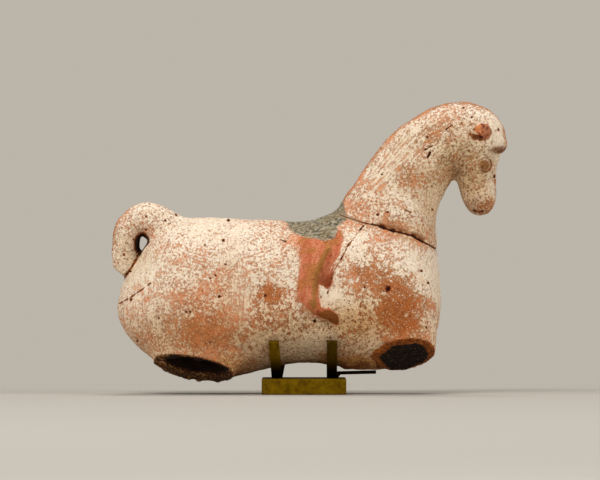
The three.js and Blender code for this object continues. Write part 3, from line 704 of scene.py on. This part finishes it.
# The orange of the crest and the tail's back is partly painted rim light.
keep("rust_and_rim_light", patched(0.22, [
    (28, 48, 11, 8, 0.5, -30), (36, 34, 9, 14, 0.6, -10), (42, 25, 6, 5, 0.5), (-42, 28, 12, 12, 0.5, -15),
    (-13, 36, 8, 7, 0.5), (14, 27, 20, 12, 0.5), (-10, 20, 24, 8, 0.5), (-58, 20, 12, 10, 0.35),
    (50, 99, 10, 6, 0.3, 35), (35, 68, 7, 8, 0.35, 20), (42, 84, 8, 6, 0.4, 30), (58, 88, 10, 10, 0.4),
    (66, 74, 7, 7, 0.4), (70.5, 70, 4, 3.5, 0.4), (22, 28, 8, 7, 0.3), (46, 96, 8, 5, 0.3, 35),
]) + np.maximum(0.5 * np.maximum(crest_wear_and_rim_light, tail_back_wear_and_rim_light), left_of_ear))
# Cream where the slip is dirty. Faces turned up get less of it, so they are painted paler than the rest:
# painted light and shade.
keep("cream_and_shade", patched(0.1, [
    (0, 22, 34, 10, 0.6), (22, 32, 14, 10, 0.5), (62, 86, 12, 16, 0.6), (50, 72, 7, 12, 0.3),
    (-64, 54, 8, 12, 0.4), (-45, 22, 18, 10, 0.35), (44, 90, 20, 22, 0.3), (40, 62, 12, 5, 0.3, -20),
]) - 0.4 * ease(upwards, 0.35, 0.9))

# %% Brown stain, and painted shade that deepens towards the belly
# Painted shade: darker low down and in the recess behind the knee.
shade_low_down = 0.4 * ease(co[:, 2], 46, 14)
shade_behind_knee = 0.55 * within(drifted(0.3), RECESS, 2) * ease(co[:, 2], 54, 43)
rider_foot = 0.8 * within(co, RIDER_LEG, 0.6) * patch(9.5, 28.5, 8, 4.5, -20)
# The patches at the belly's bottom by the arm are painted shade.
keep("stain_and_shade", patched(0.06, [
    (66, 79, 6, 11, 0.25), (56, 86, 8, 7, 0.2, 30), (48, 68, 5, 8, 0.2), (-34, 34, 14, 14, 0.15),
    (-12, 36, 10, 7, 0.2), (36, 32, 9, 12, 0.3), (22, 28, 9, 7, 0.3), (10, 29, 5, 2.6, 0.3, -20),
    (40, 61, 12, 4, 0.3, -25), (-28, 40, 6, 20, 0.12), (24, 70, 9, 7, 0.12), (44, 82, 9, 6, 0.2, 20),
    (16, 11, 13, 5, 0.9), (28, 47, 9, 6, 0.1, -30), (*EYE_SEEN, 3, 3, 0.6), (71, 71, 4, 5, 0.3),
    (0, 18, 12, 6, -0.3), (-28, 11, 9, 5, 0.4),
]) + shade_low_down + shade_behind_knee + rider_foot)

# %% Painted leg, scar of the seat and the ear's torn clay
leg = within(drifted(0.4), RIDER_LEG, 1.5) * flanks
scar = within(drifted(0.3), SCAR, 0.5)
recess = within(drifted(0.3), RECESS, 1.2) * flanks
island = within(drifted(0.2), ISLAND, 0.5) * flanks
robe_edge = bell(from_line(co, ROBE_EDGE), 0.9) * flanks
ochre = bell(from_line(co, OCHRE_RIDGE) + wander, 1.5) * flanks
faded = 1 - 0.35 * patch(-1.5, 55, 3.5, 7)
keep("paint", np.maximum(leg * faded, np.maximum(robe_edge, 0.9 * recess)) * (1 - scar) * (1 - island))
keep("ochre", ochre * leg * (1 - scar))
keep("scar", scar)
keep("ear", within(co, EAR_OUTLINE, 0.3) * (off_middle > 9))

# %% Dirt, painted shade and specks
from_eye = from_spot(co, *EYE_SEEN)
eye_ball = (1 - ease(from_eye, 1.6, 2.4)) * (off_middle > 5)
# Painted shade under the brow.
shade_under_brow = 1 - ease(in_oval(co, 74.4, 92.6, 4.2, 1.9), 0.5, 1.15)
# Grime on cheek and muzzle, the eye's dark ball and dust on the hind lips. Painted shade: beside the tail
# hole, under the belly by the arm, under the brow and on faces turned down. The value also grows a little
# towards the bottom.
dirt_and_shade = patched(0.0, [
    (58, 88, 9, 7, 0.4, 30), (66, 71, 6, 4, 0.3), (62, 80, 4, 8, 0.2), (-64.8, 58, 3.4, 5, 0.3),
    (-61, 63, 5, 2, 0.3, 20), (16, 10, 14, 2.6, 0.9), (-26, 8, 14, 3, 0.7), (70, 91, 3, 2.5, 0.3),
    (-20, 13, 8, 2.5, 0.2, 20), (-45, 22, 16, 9, 0.2, -20), (45, 66, 7, 12, 0.15), (0, 12, 60, 4, 0.15),
    (44, 80, 8, 6, 0.2, 30), (66, 80, 6, 9, 0.15),
]) + 0.3 * ease(-upwards, 0.45, 0.95) + 0.1 * ease(co[:, 2], 40, 16)
keep("dirt_and_shade", np.maximum.reduce([dirt_and_shade, 0.9 * shade_under_brow, 0.95 * eye_ball, hind_lip]))
keep("specks", patched(0.2, [
    (60, 90, 12, 14, 0.7), (-66, 56, 4, 9, 0.35), (-30, 18, 30, 6, 0.3), (5, 20, 24, 7, 0.6),
    (-50, 66, 10, 5, 0.5), (66, 74, 8, 10, 0.5), (45, 68, 9, 8, 0.35), (20, 30, 22, 14, 0.35),
    (62, 106, 9, 5, 0.4), (20, 70, 5, 6, 0.3),
]))

# %% Dark lines and pits
dark_marks_and_shades = [bell(joint + 0.4 * wander, 0.2 + 0.22 * gap) * ring * ease(gap, -0.3, 0.6)]
broken_up = ease(mottle(co, 1.4, 26), -0.5, 0.3)
dark_lines = [
    (SHOULDER_CRACK, 0.22, 0.6 + 0.4 * broken_up),
    (RUMP_CRACK, 0.2, 0.65 + 0.15 * broken_up),
    (MOUTH, 0.3, 0.8),
    *[([start, end], width * 0.9, 0.9) for start, end, width, _ in SLOTS],
]
for line, width, share in dark_lines:
    dark_marks_and_shades.append(share * near_side * bell(from_line(co, line) + wander, width))
for x, z, radius, _ in PITS:
    dark_marks_and_shades.append(0.85 * near_side * bell(from_spot(co, x, z) * ragged, 0.9 * radius, 4))
seam = bell(from_line(co, TAIL_SEAM) + wander, 0.5) * (0.6 + 0.4 * broken_up)
dark_marks_and_shades.append(0.85 * seam * (off_middle < 12))

# %% Dark marks and painted shade in the tail hole, the broken legs, under the belly and on the head
# Painted shade around and inside the tail hole.
shade_at_hole_edge = 1 - ease(in_oval(co, -62.6, 57, 1.7, 3.2), 0.8, 1.45)
shade_on_hole_wall = 1 - ease(in_oval(co, -61.2, 56.6, 2.4, 4.4), 0.9, 1.3)
dark_marks_and_shades += [0.9 * shade_at_hole_edge * (off_middle < 8), 0.85 * shade_on_hole_wall * (off_middle < 6)]
# Painted shade deep in the hind pits, and the fore cores darker still.
dark_marks_and_shades += [0.3 * core, 0.8 * hind_core]
# Painted shade under the belly, where it comes close to the arm.
dark_marks_and_shades.append(0.33 * patch(16, 9.4, 15, 2.6) + 0.3 * patch(-28, 7, 14, 2.2))
# Painted shadow under the lower left of each ear stub.
EAR_FOOT = (65.6, 97.3)
ear_low = co[:, 2] - EAR_FOOT[1] + 0.3 * (co[:, 0] - EAR_FOOT[0])
shadow_below_ear = np.hypot((co[:, 0] - EAR_FOOT[0]) / 3.2, ear_low / 1.3) + 0.3 * mottle(co, 0.9, 27)
dark_marks_and_shades.append(0.65 * (1 - ease(shadow_below_ear, 0.6, 1.2)) * (off_middle > 9))
# Painted shade in the ring of each eye, on its right and lower side.
shaded_lower_right = ease(co[:, 0] - EYE_SEEN[0] - 0.8 * (co[:, 2] - EYE_SEEN[1]), -1.5, 2.5)
dark_marks_and_shades.append(bell(from_eye - 2.7, 0.45) * (off_middle > 4) * (0.05 + 0.5 * shaded_lower_right))
# Painted shade under the brow, and the eye's dark ball.
dark_marks_and_shades.append(0.2 * eye_ball + 0.35 * shade_under_brow)
keep("dark_marks_and_shade", np.maximum.reduce(dark_marks_and_shades))

# %% Chipped, filled and raised places
chips = [from_line(co, [start, end]) for start, end, _, _ in CHIPS]
chip = bell(np.minimum(*chips) + wander, 0.6) * near_side
keep("chip", np.maximum(chip, 0.2 * eye_ball))
keep("filled", 0.9 * (bell(joint, 0.7) * ring * ease(co[:, 0], 24, 20)))
strip = bell(from_line(co, FLAKED_STRIP), 0.9) * near_side
upper_left = ease(co[:, 0] - EYE_SEEN[0] - 0.6 * (co[:, 2] - EYE_SEEN[1]), 1, -1.5)
crescent = bell(from_eye - 3, 0.35) * upper_left * (off_middle > 5)
keep("island", np.maximum.reduce([0.9 * island, 0.75 * strip, 0.9 * crescent]))

# %% Brushed and combed places
keep("combed", patched(0.0, [
    (33, 88, 12, 6, 0.6, 50), (26, 80, 8, 6, 0.4, 55), (42, 94, 10, 5, 0.4, 45),
]))
keep("brushed", patched(0.0, [
    (-25, 38, 5, 16, 0.45), (47, 71, 4, 6, 0.6), (-63, 35, 6, 14, 0.35), (50, 40, 4, 14, 0.35),
    (-50, 30, 8, 12, 0.25), (-28, 58, 8, 8, 0.3), (-60, 46, 8, 8, 0.5), (42, 56, 8, 4, 0.5, -25),
]))

# %% [markdown]
# ## Colours by name and a short way to build materials
# Colours are noted as seen on a screen, from 0 to 255, and turned to the linear values that the
# shader works with. `put` adds one node and fills its sockets, with values or with other nodes'
# outputs. The other helpers give one node's output each, so that a pattern reads as a formula.

# %% Helpers for materials
def tone(*seen):
    """The shader's colour for a red, green and blue seen on a screen."""
    linear = [((v / 255 + 0.055) / 1.055) ** 2.4 if v > 10 else v / 255 / 12.92 for v in seen]
    return (*linear, 1)


def new_material(name):
    material = bpy.data.materials.new(name)
    material.use_nodes = True
    tree = material.node_tree
    return material, tree, tree.nodes["Principled BSDF"]


def fill(node, sockets):
    """Puts values, or other nodes' outputs, in a node's sockets."""
    for name, value in dict(sockets).items():
        if isinstance(value, bpy.types.NodeSocket):
            node.id_data.links.new(value, node.inputs[name])
        else:
            node.inputs[name].default_value = value


def put(tree, kind, sockets=(), **settings):
    """A new node with its sockets filled."""
    node = tree.nodes.new("ShaderNode" + kind)
    for name, value in settings.items():
        setattr(node, name, value)
    fill(node, sockets)
    return node


def spots(tree, where, size, detail=2, rough=0.5, distortion=0.0):
    """Noise from 0 to 1 with lumps `size` millimetres across."""
    sockets = {"Vector": where, "Scale": 1000 / size, "Detail": detail}
    sockets |= {"Roughness": rough, "Distortion": distortion}
    return put(tree, "TexNoise", sockets).outputs[0]


def strokes(tree, where, size, turn, stretch=0.08):
    """Noise drawn out into strokes `size` millimetres wide, at an angle to the ground."""
    turned = put(tree, "Mapping", {"Vector": where, "Rotation": (0, math.radians(turn), 0)}).outputs[0]
    drawn = put(tree, "Mapping", {"Vector": turned, "Scale": (stretch, 0.3, 1)}).outputs[0]
    return spots(tree, drawn, size, 3, 0.55)


def ramp(tree, value, low, high):
    """0 where the value is `low`, 1 where it is `high`, and a soft slope between them."""
    sockets = {"Value": value, "From Min": low, "From Max": high}
    return put(tree, "MapRange", sockets, interpolation_type="SMOOTHSTEP").outputs[0]


def sum_of(tree, a, b, share=1.0):
    """The sum of a and a share of b."""
    return put(tree, "Math", {0: b, 1: share, 2: a}, operation="MULTIPLY_ADD").outputs[0]


def times(tree, a, b):
    return put(tree, "Math", {0: a, 1: b}, operation="MULTIPLY").outputs[0]


def layer(tree, share, under, over, blend="MIX"):
    """The colour `over` laid on `under` by its share, or multiplied with it, as a glaze is."""
    sockets = {0: share, 6: under, 7: over}
    return put(tree, "Mix", sockets, data_type="RGBA", blend_type=blend).outputs[2]


def between(tree, share, a, b):
    """A value that goes from a to b as the share goes from 0 to 1."""
    return put(tree, "Mix", {0: share, 2: a, 3: b}).outputs[0]


def kept(tree, name):
    """A value that was kept on the vertices."""
    return put(tree, "Attribute", attribute_name=name).outputs["Fac"]


# %% [markdown]
# ## Worn slip on clay
# White slip was brushed over orange clay and has worn off in flakes. Noise stands for how well each
# crumb of slip holds. The slip shows where that noise and the kept value `slip_and_painted_light` add up
# to enough, so a high value leaves a closed coat and a low one leaves crumbs. The clay, a thin film,
# the slip, the stain with its painted shade, the paint, the torn clay and the dark marks with painted
# shade are laid over one another in that order.

# %% The bare clay
clay, tree, shader = new_material("worn slip on clay")
where = put(tree, "TexCoord").outputs["Object"]
fine = spots(tree, where, 0.55, 3, 0.6)
clouds = spots(tree, where, 7, 4, 0.6)
small = spots(tree, where, 0.92, 3, 0.6, 0.2)
large = spots(tree, where, 1.5, 4, 0.7, 0.3)
flakes = between(tree, kept(tree, "coarse"), small, large)
# `rust_and_rim_light` picks the darker orange clay; on the crest and the tail's back it is partly painted rim
# light.
rust_and_rim_share = ramp(tree, sum_of(tree, kept(tree, "rust_and_rim_light"), sum_of(tree, -0.5, clouds), 1.2), 0.15, 0.8)
pale_clay = layer(tree, ramp(tree, clouds, 0.35, 0.65), tone(232, 152, 104), tone(216, 133, 84))
dark_share = ramp(tree, spots(tree, where, 3.5, 3), 0.35, 0.65)
dark_clay = layer(tree, dark_share, tone(196, 118, 58), tone(176, 108, 58))
bare = layer(tree, rust_and_rim_share, pale_clay, dark_clay)
# The cream value, with its painted shade, dulls the bare clay too.
bare = layer(tree, times(tree, kept(tree, "cream_and_shade"), 0.5), bare, tone(186, 140, 88))
bare = layer(tree, times(tree, kept(tree, "coarse"), 0.3), bare, tone(160, 92, 44))
bare = layer(tree, times(tree, ramp(tree, flakes, 0.47, 0.33), 0.85), bare, tone(124, 62, 26))
print("nodes of the bare clay:", len(tree.nodes))

# %% What is left of the slip
patchy = sum_of(tree, times(tree, clouds, 0.7), spots(tree, where, 2.6, 4, 0.6), 0.5)
amount = sum_of(tree, kept(tree, "slip_and_painted_light"), sum_of(tree, -0.6, patchy))
rubbed = between(tree, kept(tree, "brushed"), flakes, strokes(tree, where, 0.7, 90))
rubbed = between(tree, kept(tree, "combed"), rubbed, strokes(tree, where, 0.55, 48))
rubbed = sum_of(tree, rubbed, sum_of(tree, -0.5, fine), 0.3)
covered = ramp(tree, sum_of(tree, rubbed, amount, 0.5), 0.725, 0.785)
grain = ramp(tree, spots(tree, where, 0.9, 4, 0.6), 0.35, 0.6)
white = layer(tree, grain, tone(240, 213, 184), tone(255, 245, 228))
cream_and_shade = layer(tree, grain, tone(196, 168, 126), tone(230, 206, 168))
# The cream copy of the slip is dirty slip, and painted shade on faces not turned up.
white = layer(tree, kept(tree, "cream_and_shade"), white, cream_and_shade)
film = sum_of(tree, sum_of(tree, 0.4, kept(tree, "coarse"), -0.3), kept(tree, "brushed"), 0.6)
film = times(tree, ramp(tree, amount, 0.1, 0.9), film)
surface = layer(tree, film, bare, white)
surface = layer(tree, covered, surface, white)
crumbs = times(tree, ramp(tree, spots(tree, where, 0.6, 2), 0.6, 0.66), 0.75)
surface = layer(tree, crumbs, surface, white)

# %% Stain and grime with painted shade, and specks
# The stain also lays the painted shade: low on the body, behind the knee and under the belly.
surface = layer(tree, kept(tree, "stain_and_shade"), surface, tone(232, 184, 118), "MULTIPLY")
# Grime, with painted shade under the brow and belly and on faces turned down.
grime_and_shade = times(tree, kept(tree, "dirt_and_shade"), ramp(tree, spots(tree, where, 1.3, 5, 0.75), 0.34, 0.6))
surface = layer(tree, grime_and_shade, surface, tone(128, 88, 48))
specks = times(tree, kept(tree, "specks"), ramp(tree, spots(tree, where, 0.85, 3, 0.6), 0.57, 0.63))
surface = layer(tree, specks, surface, tone(100, 56, 22))

# %% Red paint and ochre
streaks = strokes(tree, where, 1.5, 80, 0.3)
red = layer(tree, ramp(tree, streaks, 0.3, 0.7), tone(206, 106, 68), tone(232, 148, 110))
red = layer(tree, ramp(tree, spots(tree, where, 5, 4), 0.48, 0.64), red, tone(200, 126, 72))
ochre_share = times(tree, ramp(tree, sum_of(tree, kept(tree, "ochre"), flakes, 0.5), 0.5, 1.1), 0.75)
red = layer(tree, ochre_share, red, tone(176, 124, 58))
red = layer(tree, ramp(tree, fine, 0.57, 0.66), red, tone(124, 62, 32))
# The stain and its painted shade darken the paint as well.
red = layer(tree, kept(tree, "stain_and_shade"), red, tone(170, 128, 78), "MULTIPLY")
red = layer(tree, times(tree, ramp(tree, kept(tree, "stain_and_shade"), 0.45, 0.85), 0.9), red, tone(122, 68, 22))
worn = ramp(tree, sum_of(tree, flakes, kept(tree, "paint"), 0.5), 0.62, 0.74)
surface = layer(tree, worn, surface, red)

# %% Grey scar, torn clay and its black core
grey_grain = ramp(tree, spots(tree, where, 1.2, 5, 0.8), 0.42, 0.6)
grey = layer(tree, grey_grain, tone(82, 76, 62), tone(194, 184, 160))
grey = layer(tree, times(tree, ramp(tree, clouds, 0.42, 0.6), 0.45), grey, tone(150, 130, 92))
surface = layer(tree, kept(tree, "scar"), surface, grey)
rim = layer(tree, ramp(tree, spots(tree, where, 1.2, 4, 0.6), 0.4, 0.6), tone(118, 54, 10), tone(170, 94, 32))
crumbly = spots(tree, where, 0.8, 3)
dust_and_shade_tone = layer(tree, ramp(tree, crumbly, 0.52, 0.64), tone(66, 38, 10), tone(150, 106, 58))
# Dust on the torn faces, with painted shade where they face down.
rim = layer(tree, kept(tree, "dirt_and_shade"), rim, dust_and_shade_tone)
torn_here = kept(tree, "torn")
surface = layer(tree, ramp(tree, torn_here, 0.3, 0.7), surface, rim)
black = layer(tree, ramp(tree, crumbly, 0.6, 0.7), tone(30, 18, 8), tone(122, 94, 62))
surface = layer(tree, kept(tree, "core"), surface, black)
edge = times(tree, ramp(tree, torn_here, 0.02, 0.25), ramp(tree, torn_here, 0.6, 0.35))
surface = layer(tree, times(tree, edge, 0.7), surface, tone(160, 92, 40))

# %% Ear stubs, chips, raised slip, dark marks and painted shade
ear_clay = layer(tree, ramp(tree, kept(tree, "rust_and_rim_light"), 0.4, 0.9), tone(180, 114, 80), tone(222, 138, 86))
ear_clay = layer(tree, ramp(tree, spots(tree, where, 1.2, 4), 0.5, 0.66), ear_clay, tone(120, 66, 40))
surface = layer(tree, kept(tree, "ear"), surface, ear_clay)
surface = layer(tree, kept(tree, "chip"), surface, tone(150, 100, 58))
surface = layer(tree, kept(tree, "filled"), surface, tone(170, 148, 122))
raised = ramp(tree, sum_of(tree, kept(tree, "island"), flakes, 1.2), 1.33, 1.41)
surface = layer(tree, raised, surface, tone(246, 226, 200))
# Dark cracks and pits, and painted shade in the tail hole, the hind pits, under the belly, ear and brow and
# in the eyes' rings.
marks_and_shade = kept(tree, "dark_marks_and_shade")
surface = layer(tree, ramp(tree, marks_and_shade, 0.05, 0.5), surface, tone(176, 120, 72), "MULTIPLY")
surface = layer(tree, ramp(tree, marks_and_shade, 0.35, 0.95), surface, tone(28, 12, 3))
fill(shader, {"Base Color": surface, "Roughness": 0.93, "Specular IOR Level": 0.25})

# %% Fine relief of the slip
height = sum_of(tree, times(tree, covered, 0.7), fine, 0.5)
height = sum_of(tree, height, spots(tree, where, 0.3, 2), 0.3)
bump = put(tree, "Bump", {"Height": height, "Distance": 0.2 * MM, "Strength": 1.0})
fill(shader, {"Normal": bump.outputs[0]})
skin.materials.clear()
skin.materials.append(clay)
skin.polygons.foreach_set("use_smooth", np.ones(len(skin.polygons), bool))
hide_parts("clay_horse")
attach(horse, "root")
print("nodes of the whole clay:", len(tree.nodes), "faces:", len(skin.polygons))

# %% [markdown]
# ## The brass
# The cradle is cut from flat bar, bent, and darkened to a brown olive. The CAD bars have the right
# shape, so each gets a merged copy with its sharp edges broken by a file, and a patina. The bars are
# painted darker low down, where the belly shades them, which is painted shade. The front pair is darker.

# %% Patinated brass
brass, tree, shader = new_material("darkened brass")
where = put(tree, "TexCoord").outputs["Object"]
cloud = ramp(tree, spots(tree, where, 3.5, 5, 0.6), 0.3, 0.7)
colour = layer(tree, cloud, tone(96, 72, 2), tone(132, 102, 5))
colour = layer(tree, ramp(tree, spots(tree, where, 0.7, 4), 0.58, 0.72), colour, tone(58, 38, 1))
along, _, low = put(tree, "SeparateXYZ", {0: where}).outputs
above_foot = ramp(tree, low, 6 * MM, 6.4 * MM)
# The front pair is darker.
front_bars = times(tree, ramp(tree, along, 4 * MM, 7 * MM), above_foot)
colour = layer(tree, times(tree, front_bars, 0.6), colour, tone(46, 30, 1))
# Painted shade: the bars darken towards their low ends, where the belly shades them.
shade_low_on_bars = times(tree, ramp(tree, low, 13 * MM, 8 * MM), above_foot)
colour = layer(tree, shade_low_on_bars, colour, tone(22, 10, 0))
roughness = put(tree, "MapRange", {"Value": cloud, "To Min": 0.62, "To Max": 0.42}).outputs[0]
fill(shader, {"Base Color": colour, "Metallic": 0.8, "Roughness": roughness, "Specular IOR Level": 0.15})
marks = put(tree, "Mapping", {"Vector": where, "Scale": (0.08, 1, 1)}).outputs[0]
bump = put(tree, "Bump", {"Height": spots(tree, marks, 0.35, 3), "Distance": 0.03 * MM, "Strength": 0.6})
fill(shader, {"Normal": bump.outputs[0]})
print("nodes of the brass:", len(tree.nodes))

# %% File the edges of the bars
FILED_EDGE = 0.12 * MM
BRASS = [
    "foot_block", "near_rear_prong", "far_rear_prong", "near_front_prong", "far_front_prong", "breast_arm",
]
for node in BRASS:
    bar = copy_of(node, node + "_brass")
    bm = bmesh.new()
    bm.from_mesh(bar.data)
    sharp = [e for e in bm.edges if len(e.link_faces) == 2 and e.calc_face_angle() > math.radians(35)]
    bmesh.ops.bevel(bm, geom=sharp, offset=FILED_EDGE, affect="EDGES", segments=2, profile=0.5, material=-1)
    bm.to_mesh(bar.data)
    bm.free()
    bar.data.materials.clear()
    bar.data.materials.append(brass)
    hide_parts(node)
    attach(bar, "root")
    print(node, "faces:", len(bar.data.polygons))

# %% [markdown]
# ## Floor and light
# The floor is a plain pale sheet that ends a little behind the object, and the backdrop beyond it
# is the world's own even grey. A wide soft light above and in front on the left makes the top of
# the horse bright. Smaller lamps at both sides, behind and low in front soften the shadows.

# %% Floor
FLOOR_HALF = (1.6, 0.9)
FLOOR_BACK = 0.19

bm = bmesh.new()
bmesh.ops.create_grid(bm, x_segments=8, y_segments=8, size=1)
bmesh.ops.scale(bm, verts=bm.verts, vec=(*FLOOR_HALF, 1))
bmesh.ops.translate(bm, verts=bm.verts, vec=(0, FLOOR_BACK - FLOOR_HALF[1], 0))
floor = add_object("floor", bpy.data.meshes.new("floor"))
bm.to_mesh(floor.data)
bm.free()
plaster, tree, shader = new_material("pale floor")
fill(shader, {"Base Color": tone(194, 190, 183), "Roughness": 0.9})
floor.data.materials.append(plaster)
print("floor in mm:", [round(v / MM) for v in floor.dimensions])

# %% Backdrop and lights
world = bpy.data.worlds.new("studio")
world.use_nodes = True
scene.world = world
tree = world.node_tree
tree.nodes.clear()
seen = put(tree, "Background", {"Color": tone(188, 181, 170), "Strength": 1.0})
lighting = put(tree, "Background", {"Color": tone(225, 222, 215), "Strength": 0.2})
path = put(tree, "LightPath")
both = put(tree, "MixShader", {0: path.outputs["Is Camera Ray"], 1: lighting.outputs[0], 2: seen.outputs[0]})
put(tree, "OutputWorld", {"Surface": both.outputs[0]})
AIM = Vector((0, 0, 0.05))


def soft_light(name, place, size, power, colour):
    """A round lamp that shines at the horse."""
    lamp = bpy.data.lights.new(name, "AREA")
    lamp.shape = "DISK"
    lamp.size = size
    lamp.energy = power
    lamp.color = colour
    obj = add_object(name, lamp)
    obj.location = place
    obj.rotation_euler = (AIM - Vector(place)).to_track_quat("-Z", "Y").to_euler()


soft_light("key", (-0.35, -0.95, 1.15), 0.7, 9.8, (1, 0.97, 0.92))
soft_light("left", (-1.2, -0.5, 0.5), 0.6, 5.4, (1, 0.97, 0.93))
soft_light("right", (1.2, -0.6, 0.6), 0.7, 7.0, (1, 0.97, 0.93))
soft_light("top", (0.1, 0.4, 1.2), 0.6, 5.5, (1, 0.93, 0.84))
soft_light("low", (0.1, -1.3, 0.12), 0.5, 1.1, (1, 0.95, 0.88))
scene.view_settings.view_transform = "Standard"
print("lamps:", len(bpy.data.lights))
